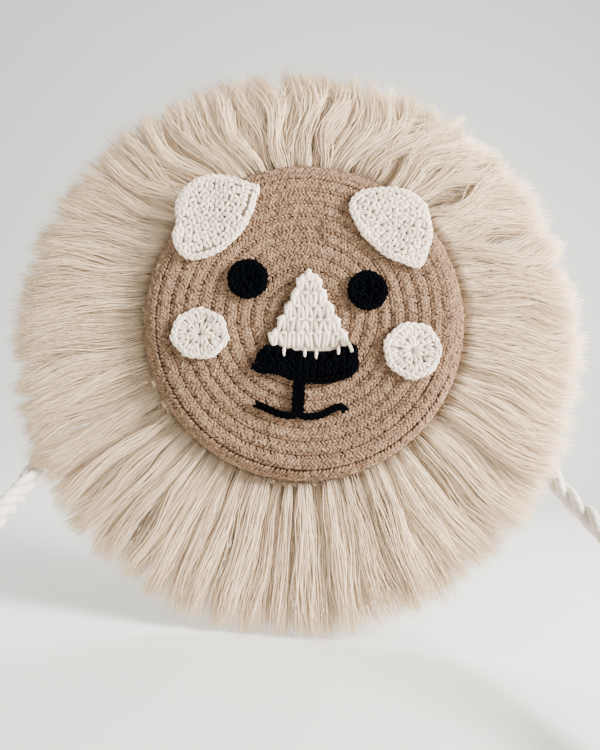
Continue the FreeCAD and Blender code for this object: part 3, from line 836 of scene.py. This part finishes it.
def even_steps(line, pitch, closed):
    """Places and directions a stitch apart along a flat line."""
    if closed:
        line = np.concatenate([line, line[:1]])
    length = run_length(line)
    count = max(2, round(length[-1] / pitch))
    at = np.linspace(0, length[-1], count, endpoint=not closed)
    ahead = np.minimum(at + 0.3 * MM, length[-1])
    behind = np.maximum(at - 0.3 * MM, 0)
    spots, after, before = (
        np.stack([np.interp(place, length, line[:, axis]) for axis in (0, 1)], axis=1) for place in (at, ahead, behind)
    )
    return spots, unit(after - before)


def lift_up(flat, lift):
    """Points on the face, lifted off it."""
    return np.stack([flat[:, 0], FACE_Y - np.broadcast_to(lift, len(flat)), flat[:, 1]], axis=1)


def loops(flat, lift, direction, size, shade):
    """Loops of yarn on the face, each along its flat direction."""
    along = np.stack([direction[:, 0], np.zeros(len(direction)), direction[:, 1]], axis=1)
    return stamp(FINE_LEG, lift_up(flat, lift), along, np.broadcast_to(FORWARDS, along.shape), size, shade)


def stitches(spots, along, height, rng, wide=4.4, tall=5.4, lift=3.0, open_by=20):
    """A row of crochet stitches: two upright legs that lean apart, and the bar across their tops."""
    up = left_of(along)
    parts = []
    for side in (-1, 1):
        slant = np.radians(open_by * side + rng.normal(0, 9, (len(spots), 1)))
        direction = up * np.cos(slant) + along * np.sin(slant)
        centre = spots + along * side * wide * 0.25 * MM + rng.normal(0, 0.22 * MM, spots.shape)
        size = np.array([tall, wide * 0.55, 2.7]) * MM * rng.uniform(0.86, 1.1, (len(spots), 3))
        shade = np.clip(rng.normal(0.84, 0.10, len(spots)), 0, 1)
        parts.append(loops(centre, lift * MM + rng.normal(0, 0.15 * MM, len(spots)), direction, size, shade))
    bar = spots + up * height * 0.46 * MM
    size = np.array([wide * 1.15, 2.3, 2.5]) * MM * rng.uniform(0.92, 1.08, (len(spots), 3))
    slant = np.radians(rng.normal(8, 7, (len(spots), 1)))
    direction = along * np.cos(slant) + up * np.sin(slant)
    shade = np.clip(rng.normal(0.86, 0.09, len(spots)), 0, 1)
    parts.append(loops(bar, (lift + 0.25) * MM, direction, size, shade))
    return parts


def chain_edge(outline, rng, pitch=4.2, inset=1.1, lift=2.5, thick=2.5):
    """The chain of slanting loops that runs round a crochet piece's edge."""
    spots, along = even_steps(outline, pitch * MM, True)
    inwards = left_of(along)
    test = inside(outline, spots + inwards * 1.5 * MM)
    inwards = np.where(test.mean() > 0.5, 1, -1) * inwards
    parts = []
    for level, (depth, slant, tall) in enumerate([(inset, 13, 0.2), (inset + 1.7, -16, 0.7)]):
        direction = along * math.cos(math.radians(slant)) + inwards * math.sin(math.radians(slant))
        shift = along * level * pitch * 0.4 * MM
        centre = spots + inwards * depth * MM + shift + rng.normal(0, 0.12 * MM, spots.shape)
        size = np.array([pitch * 1.42, thick * 0.86, thick]) * MM * rng.uniform(0.93, 1.07, (len(spots), 3))
        shade = np.clip(rng.normal(0.88, 0.08, len(spots)), 0, 1)
        parts.append(loops(centre, (lift + tall) * MM, direction, size, shade))
    return parts


def pad_under(outline, thickness=2.3, shade=0.14):
    """The body of a crochet piece under its stitches: its outline filled, extruded and rounded, and coloured dark as
    painted shade in the holes between the stitches.
    """
    deselect()
    bpy.ops.mesh.primitive_circle_add(vertices=len(outline), radius=1.0, fill_type="NGON")
    obj = bpy.context.active_object
    middle = outline.mean(axis=0)
    for vertex, (x, z) in zip(obj.data.vertices, middle + (outline - middle) * 0.94):
        vertex.co = (x, FACE_Y - 0.3 * MM, z)
    edit_all()
    bpy.ops.mesh.extrude_region_move(TRANSFORM_OT_translate={"value": (0, -thickness * MM, 0)})
    bpy.ops.object.mode_set(mode="OBJECT")
    rounding = obj.modifiers.new("rounding", "BEVEL")
    rounding.width = 0.7 * MM
    rounding.segments = 2
    rounding.limit_method = "ANGLE"
    rounding.angle_limit = math.radians(60)
    bpy.ops.object.modifier_apply(modifier="rounding")
    points, faces = take_mesh()
    fibre = np.stack([points[:, 0] / MM, points[:, 2] / MM, np.zeros(len(points))], axis=1)
    return points, faces, np.full(len(points), shade), fibre


def ring_line(x, z, radius, points):
    turn = np.linspace(0, TAU, points, endpoint=False)
    return np.stack([x * MM + radius * MM * np.cos(turn), z * MM + radius * MM * np.sin(turn)], axis=1)


EAR_ROWS = 9
EAR_ROW_HEIGHT = 5.4
EAR_FIRST_ROW = 44


def crochet_ear(name, node, corners, row_centre, seed):
    """An ear worked in curved rows that follow its lower edge, finished with a chain round it."""
    rng = np.random.default_rng(seed)
    outline = smooth_outline(corners)
    parts = [pad_under(outline)] + chain_edge(outline, rng)
    for row in range(EAR_ROWS):
        line = ring_line(*row_centre, EAR_FIRST_ROW - EAR_ROW_HEIGHT * row, 160)
        spots, along = even_steps(line, 5.1 * MM, True)
        spots = spots + along * rng.uniform(-1, 1) * MM + rng.normal(0, 0.25 * MM, spots.shape)
        from_edge = np.linalg.norm(spots[:, None] - outline[None], axis=2).min(axis=1)
        keep = inside(outline, spots) & (from_edge > 2.9 * MM)
        if keep.sum() > 1:
            parts += stitches(spots[keep], along[keep], EAR_ROW_HEIGHT, rng, wide=5.0, tall=5.6)
    return yarn_piece(name, parts, WHITE_YARN, "front_half", [node])


LEFT_EAR = [
    (-54.8, 83.5), (-41, 80.5), (-32, 77.5), (-32.2, 75), (-34.5, 63), (-38.5, 50), (-49.8, 36.5), (-61, 30.5),
    (-71.5, 28), (-79, 34), (-83, 44), (-80.2, 51.4), (-83, 62), (-78, 74), (-67, 82.5),
]
RIGHT_EAR = [
    (21, 70.5), (26, 59), (32, 49.5), (45.6, 39), (57, 35.5), (67, 32.5), (70.5, 40), (74, 52.5), (73, 62),
    (67.5, 76), (54.5, 83.5), (38, 82), (27, 79),
]
crochet_ear("left_ear_crochet", "left_ear", LEFT_EAR, (-78, 79), 21)
crochet_ear("right_ear_crochet", "right_ear", RIGHT_EAR, (68, 82), 22)


def crochet_round(name, node, radius, yarn, seed, squeeze=(1, 1)):
    """A disc worked in two rounds from its middle, with a scalloped chain edge."""
    rng = np.random.default_rng(seed)
    low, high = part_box(node)
    x, z = (low[0] + high[0]) / 2 / MM, (low[2] + high[2]) / 2 / MM
    size = np.array(squeeze)
    centre = np.array([x, z]) * MM
    turn = np.linspace(0, TAU, 60, endpoint=False)
    wobble, pitch, inner = (0.022, 4.6, 1.5) if radius > 14 else (0.006, 3.9, 1.3)
    uneven = 1 + wobble * (np.sin(7 * turn + rng.uniform(0, 6)) + 0.5 * np.sin(3 * turn + rng.uniform(0, 6)))
    outline = centre + (ring_line(x, z, radius, 60) - centre) * size * uneven[:, None]
    parts = [pad_under(outline, 2.0)] + chain_edge(outline, rng, pitch=pitch, inset=0.9)
    band = (radius - 2.4 - inner) / 2
    for number in range(2):
        line = centre + (ring_line(x, z, inner + band * (number + 0.5), 60)[::-1] - centre) * size
        spots, along = even_steps(line, 4.2 * MM, True)
        parts += stitches(spots, along, band, rng, wide=4.3, tall=band * 1.15, lift=2.7, open_by=14)
    return yarn_piece(name, parts, yarn, "front_half", [node])


crochet_round("left_eye_crochet", "left_eye", 12.0, BLACK_YARN, 31)
crochet_round("right_eye_crochet", "right_eye", 12.0, BLACK_YARN, 32)
crochet_round("left_cheek_crochet", "left_cheek", 16.8, WHITE_YARN, 33, (1, 0.9))
crochet_round("right_cheek_crochet", "right_cheek", 16.8, WHITE_YARN, 34)


NOSE_FOOT = np.array([3.9, -18.0])
NOSE_TILT = math.radians(3.5)
NOSE_ROWS = [(9, 46), (7, 37.5), (6, 29), (4, 21), (3, 14)]
NOSE_ROW_HEIGHT = 8.1


def on_nose(across, up):
    """A point of the nose bridge, from its foot's middle, in metres on the face."""
    right = np.array([math.cos(NOSE_TILT), math.sin(NOSE_TILT)])
    rise = np.array([-math.sin(NOSE_TILT), math.cos(NOSE_TILT)])
    return (NOSE_FOOT + np.outer(across, right) + np.outer(up, rise)) * MM


def nose_bridge():
    """Rows of tall stitches, each shorter than the one below, with loops up the steps, a peak and a sewn foot."""
    rng = np.random.default_rng(41)
    widths = np.array([width for _, width in NOSE_ROWS])
    levels = NOSE_ROW_HEIGHT * np.arange(len(widths) + 1)
    edge = np.append(widths / 2 - 1.5, 2.0)
    up = np.concatenate([[-4.2], levels[1:-1], [levels[-1] + 2]])
    parts = [pad_under(np.concatenate([on_nose(edge, up), on_nose(-edge[::-1], up[::-1])]), 2.2, 0.45)]
    for row, (count, width) in enumerate(NOSE_ROWS):
        across = (np.arange(count) + 0.5) / count * width - width / 2
        spots = on_nose(across, NOSE_ROW_HEIGHT * (row + 0.5) + rng.normal(0, 0.3, count))
        along = np.broadcast_to(unit(on_nose([1], [0]) - on_nose([0], [0])), (count, 2))
        tall = NOSE_ROW_HEIGHT * 1.25
        parts += stitches(spots, along, NOSE_ROW_HEIGHT, rng, wide=width / count, tall=tall, lift=3.1, open_by=9)
    next_widths = np.append(widths[1:], 7.0)
    for side in (-1, 1):
        middles = on_nose(side * (widths + next_widths) / 4 - side * 0.6, levels[1:] - 1.0)
        slope = on_nose(side * (next_widths - widths) / 2, np.full(len(widths), NOSE_ROW_HEIGHT)) - on_nose([0], [0])
        sizes = np.array([9.6, 4.4, 2.9]) * MM * rng.uniform(0.94, 1.06, (len(widths), 3))
        parts.append(loops(middles, 3.0 * MM, slope, sizes, rng.uniform(0.8, 0.95, len(widths))))
    peak = on_nose([-0.8, 1.4], [levels[-1] + 2.2, levels[-1] + 0.8])
    peak_along = on_nose([0.25, -0.35], [1, 1]) - on_nose([0, 0], [0, 0])
    peak_size = np.array([[8.5, 4.2, 2.9], [7.0, 4.0, 2.8]]) * MM
    parts.append(loops(peak, 3.1 * MM, peak_along, peak_size, np.array([0.9, 0.84])))
    foot = np.array([(-10.3, -22.0), (1.9, -22.3), (8.6, -22.4), (21.4, -19.6)]) * MM
    down = np.broadcast_to(np.array([0.05, -1.0]), foot.shape)
    parts.append(loops(foot, 4.2 * MM, down, np.array([6.4, 2.0, 2.0]) * MM, np.full(len(foot), 0.85)))
    return yarn_piece("nose_bridge_crochet", parts, WHITE_YARN, "front_half", ["nose_bridge"])


nose_bridge()

NOSE_TIP = [
    (-25, -23), (-20.6, -18.8), (-14, -18.8), (-4, -21.5), (8, -22), (19, -19.5), (27.9, -14), (32.3, -16),
    (33.5, -23), (34.5, -28.4), (30.4, -34), (23.6, -37.3), (14.2, -39.8), (4.3, -40.2), (-5.7, -39),
    (-10.6, -36.5), (-15, -35.6), (-21.2, -36.2), (-26.2, -35), (-28.5, -32.3), (-26.8, -30), (-26.6, -26.5),
]


def nose_tip():
    """The black nose: three rows of short stitches that end in round lobes along its upper edge."""
    rng = np.random.default_rng(42)
    outline = smooth_outline(NOSE_TIP, 6)
    parts = [pad_under(outline, 2.6)] + chain_edge(outline, rng, pitch=4.0, inset=1.0, lift=2.7)
    inner = outline.mean(axis=0) + (outline - outline.mean(axis=0)) * np.array([0.92, 0.78])
    for sag in (-34.5, -30.0, -25.5):
        x = np.arange(-27, 33, 4.3)
        z = sag + 0.006 * (x - 2) ** 2 + 0.06 * x
        spots = np.stack([x, z], axis=1) * MM
        keep = inside(inner, spots)
        along = unit(np.gradient(spots, axis=0))
        parts += stitches(spots[keep], along[keep], 4.5, rng, lift=3.3)
    lobes = [
        (-20.5, -22.3), (-14.8, -21.6), (-6.6, -23.2), (-1, -24), (4.8, -24.6), (12, -24.2), (18.2, -22.8),
        (24.4, -20), (30, -18),
    ]
    lobes = np.array(lobes) * MM
    up = np.broadcast_to(np.array([0.08, 1.0]), lobes.shape)
    sizes = np.array([[7.0, 4.9, 3.6]]) * MM * rng.uniform(0.92, 1.08, (len(lobes), 3))
    parts.append(loops(lobes, 3.6 * MM, up, sizes, rng.uniform(0.4, 0.8, len(lobes))))
    return yarn_piece("nose_tip_crochet", parts, BLACK_YARN, "front_half", ["nose_tip"])


nose_tip()


MOUTH_WIDTH = 4.4


def mouth_chain(name, node, route, seed):
    """A crocheted chain sewn flat on the face: two files of slanting loops over a core."""
    rng = np.random.default_rng(seed)
    line = nurbs_line(node, [(x * MM, 0, z * MM) for x, z in route], 10)[:, [0, 2]]
    spots, along = even_steps(line, 3.0 * MM, False)
    core = lift_up(line, 2.0 * MM)
    parts = [sweep(core[None], np.full((1, len(core)), MOUTH_WIDTH * 0.45 * MM), 12, np.array([0.3]))]
    sideways = left_of(along)
    for side in (-1, 1):
        slant = math.radians(24 * side)
        direction = along * math.cos(slant) + sideways * math.sin(slant)
        centre = spots + sideways * side * MOUTH_WIDTH * 0.20 * MM
        size = np.array([4.8, MOUTH_WIDTH * 0.56, 2.6]) * MM * rng.uniform(0.93, 1.07, (len(spots), 3))
        parts.append(loops(centre, 3.0 * MM, direction, size, rng.uniform(0.3, 0.8, len(spots))))
    return yarn_piece(name, parts, BLACK_YARN, "front_half", [node])


MOUTH_LEFT = [(-1.4, -39), (-1.3, -52), (-1.2, -58.4), (-3.6, -59.6), (-12, -58.6), (-17.5, -56), (-23.5, -54.3)]
MOUTH_RIGHT = [
    (1.4, -39), (1.5, -52), (1.4, -58.2), (4.2, -59.4), (13.5, -58.2), (20, -53.6), (25.6, -51.2), (27, -53.2),
]
mouth_chain("mouth_left_chain", "mouth_left_cord", MOUTH_LEFT, 51)
mouth_chain("mouth_right_chain", "mouth_right_cord", MOUTH_RIGHT, 52)


def plain_thread(name, node, route, radius, lift, yarn):
    """A single yarn or thread end, with its twist."""
    line = nurbs_line(node, [(x * MM, 0, z * MM) for x, z in route], 12)[:, [0, 2]]
    rope = twisted_rope(lift_up(line, lift * MM), radius * MM, 5 * radius * MM, 3, 2, (0.5, 0.7, 0.6))
    return yarn_piece(name, rope, yarn, "front_half", [node])


YARN_TAIL = [(23.5, -12.5), (26.5, -14.6), (28.3, -17), (29.3, -19.8)]
FOREHEAD = [(7.8, 61.5), (8.3, 55), (8.7, 48)]
plain_thread("nose_yarn_end", "nose_yarn_tail", YARN_TAIL, 1.05, 5.6, WHITE_YARN)
plain_thread("forehead_thread", "forehead_stitch", FOREHEAD, 0.55, 0.5, THREAD)


# ---------------------------------------------------------------- bottom gusset
def gusset():
    """The webbing strip that joins the two shells under the zip's ends."""
    low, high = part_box("bottom_gusset")
    radius = -low[2]
    side_z = high[2]
    half = math.acos(-side_z / radius)
    deselect()
    bpy.ops.mesh.primitive_grid_add(x_subdivisions=96, y_subdivisions=16, size=1.0)
    obj = bpy.context.active_object
    obj.name = "gusset_webbing"
    seam = 1.5 * MM
    first_y, last_y = BACK_EDGE_Y + seam, FRONT_EDGE_Y - seam
    for vertex in obj.data.vertices:
        angle = vertex.co.x * 2 * half
        share = vertex.co.y + 0.5
        rib = 0.15 * MM * math.cos(TAU * share * 8)
        reach = radius - 0.4 * MM + rib
        vertex.co = (reach * math.sin(angle), first_y + (last_y - first_y) * share, -reach * math.cos(angle))
    wall = obj.modifiers.new("wall", "SOLIDIFY")
    wall.thickness = 0.8 * MM
    wall.offset = 0
    bpy.ops.object.modifier_apply(modifier="wall")
    edit_all()
    bpy.ops.mesh.normals_make_consistent(inside=False)
    bpy.ops.object.mode_set(mode="OBJECT")
    bpy.ops.object.shade_smooth_by_angle(angle=math.radians(40))
    obj.data.materials.append(WEB)
    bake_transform(obj)
    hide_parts("bottom_gusset")
    deselect()


gusset()


# ---------------------------------------------------------------- floor, light and camera
def studio():
    """A pale floor that curves up into a pale backdrop far behind."""
    deselect()
    bpy.ops.mesh.primitive_plane_add(size=1.0)
    floor = bpy.context.active_object
    floor.name = "studio_floor"
    half_width, bend = 3.0, 0.5
    rise = [(1.0 + bend * math.sin(a), bend - bend * math.cos(a)) for a in np.linspace(0, math.pi / 2, 13)]
    profile = [(-2.5, 0.0), *rise, (1.5, 3.0)]
    vertices = [(side * half_width, y, FLOOR_Z + z) for y, z in profile for side in (-1, 1)]
    faces = [(2 * i, 2 * i + 1, 2 * i + 3, 2 * i + 2) for i in range(len(profile) - 1)]
    floor.data.clear_geometry()
    floor.data.from_pydata(vertices, [], faces)
    floor.data.polygons.foreach_set("use_smooth", [True] * len(faces))
    paint = bpy.data.materials.new("studio_paint")
    paint.use_nodes = True
    shader = paint.node_tree.nodes["Principled BSDF"]
    shader.inputs["Base Color"].default_value = (0.80, 0.80, 0.765, 1)
    shader.inputs["Roughness"].default_value = 0.9
    floor.data.materials.append(paint)


def area_light(name, place, aim, size, power, colour):
    light = bpy.data.lights.new(name, "AREA")
    light.shape = "DISK"
    light.size = size
    light.energy = power
    light.color = colour
    holder = bpy.data.objects.new(name, light)
    holder.location = place
    holder.rotation_mode = "QUATERNION"
    holder.rotation_quaternion = (Vector(aim) - Vector(place)).to_track_quat("-Z", "Y")
    bpy.context.scene.collection.objects.link(holder)


studio()
AIM = (0, -0.05, -0.01)
area_light("window", (1.2, -0.65, 0.45), AIM, 0.6, 112, (1.0, 0.985, 0.96))
area_light("room_fill", (-0.9, -1.1, 0.35), AIM, 1.2, 4, (0.96, 0.98, 1.0))
area_light("rear_fill", (-0.3, 1.0, 1.1), AIM, 0.9, 24, (1.0, 0.99, 0.97))

world = bpy.data.worlds.new("studio_air")
world.use_nodes = True
world.node_tree.nodes["Background"].inputs["Color"].default_value = (0.86, 0.87, 0.88, 1)
world.node_tree.nodes["Background"].inputs["Strength"].default_value = 0.78
bpy.context.scene.world = world

CAMERA_PLACE = (0.0, -0.417, -0.070)
CAMERA_TILT = math.radians(5.8)
CAMERA_ROLL = math.radians(4.0)
camera = bpy.data.cameras.new("camera")
camera.sensor_width = 36
camera.lens = 28.27
camera_holder = bpy.data.objects.new("camera", camera)
camera_holder.location = CAMERA_PLACE
camera_holder.rotation_mode = "QUATERNION"
tilted = Quaternion((1, 0, 0), math.pi / 2 + CAMERA_TILT)
camera_holder.rotation_quaternion = tilted @ Quaternion((0, 0, 1), CAMERA_ROLL)
bpy.context.scene.collection.objects.link(camera_holder)
bpy.context.scene.camera = camera_holder
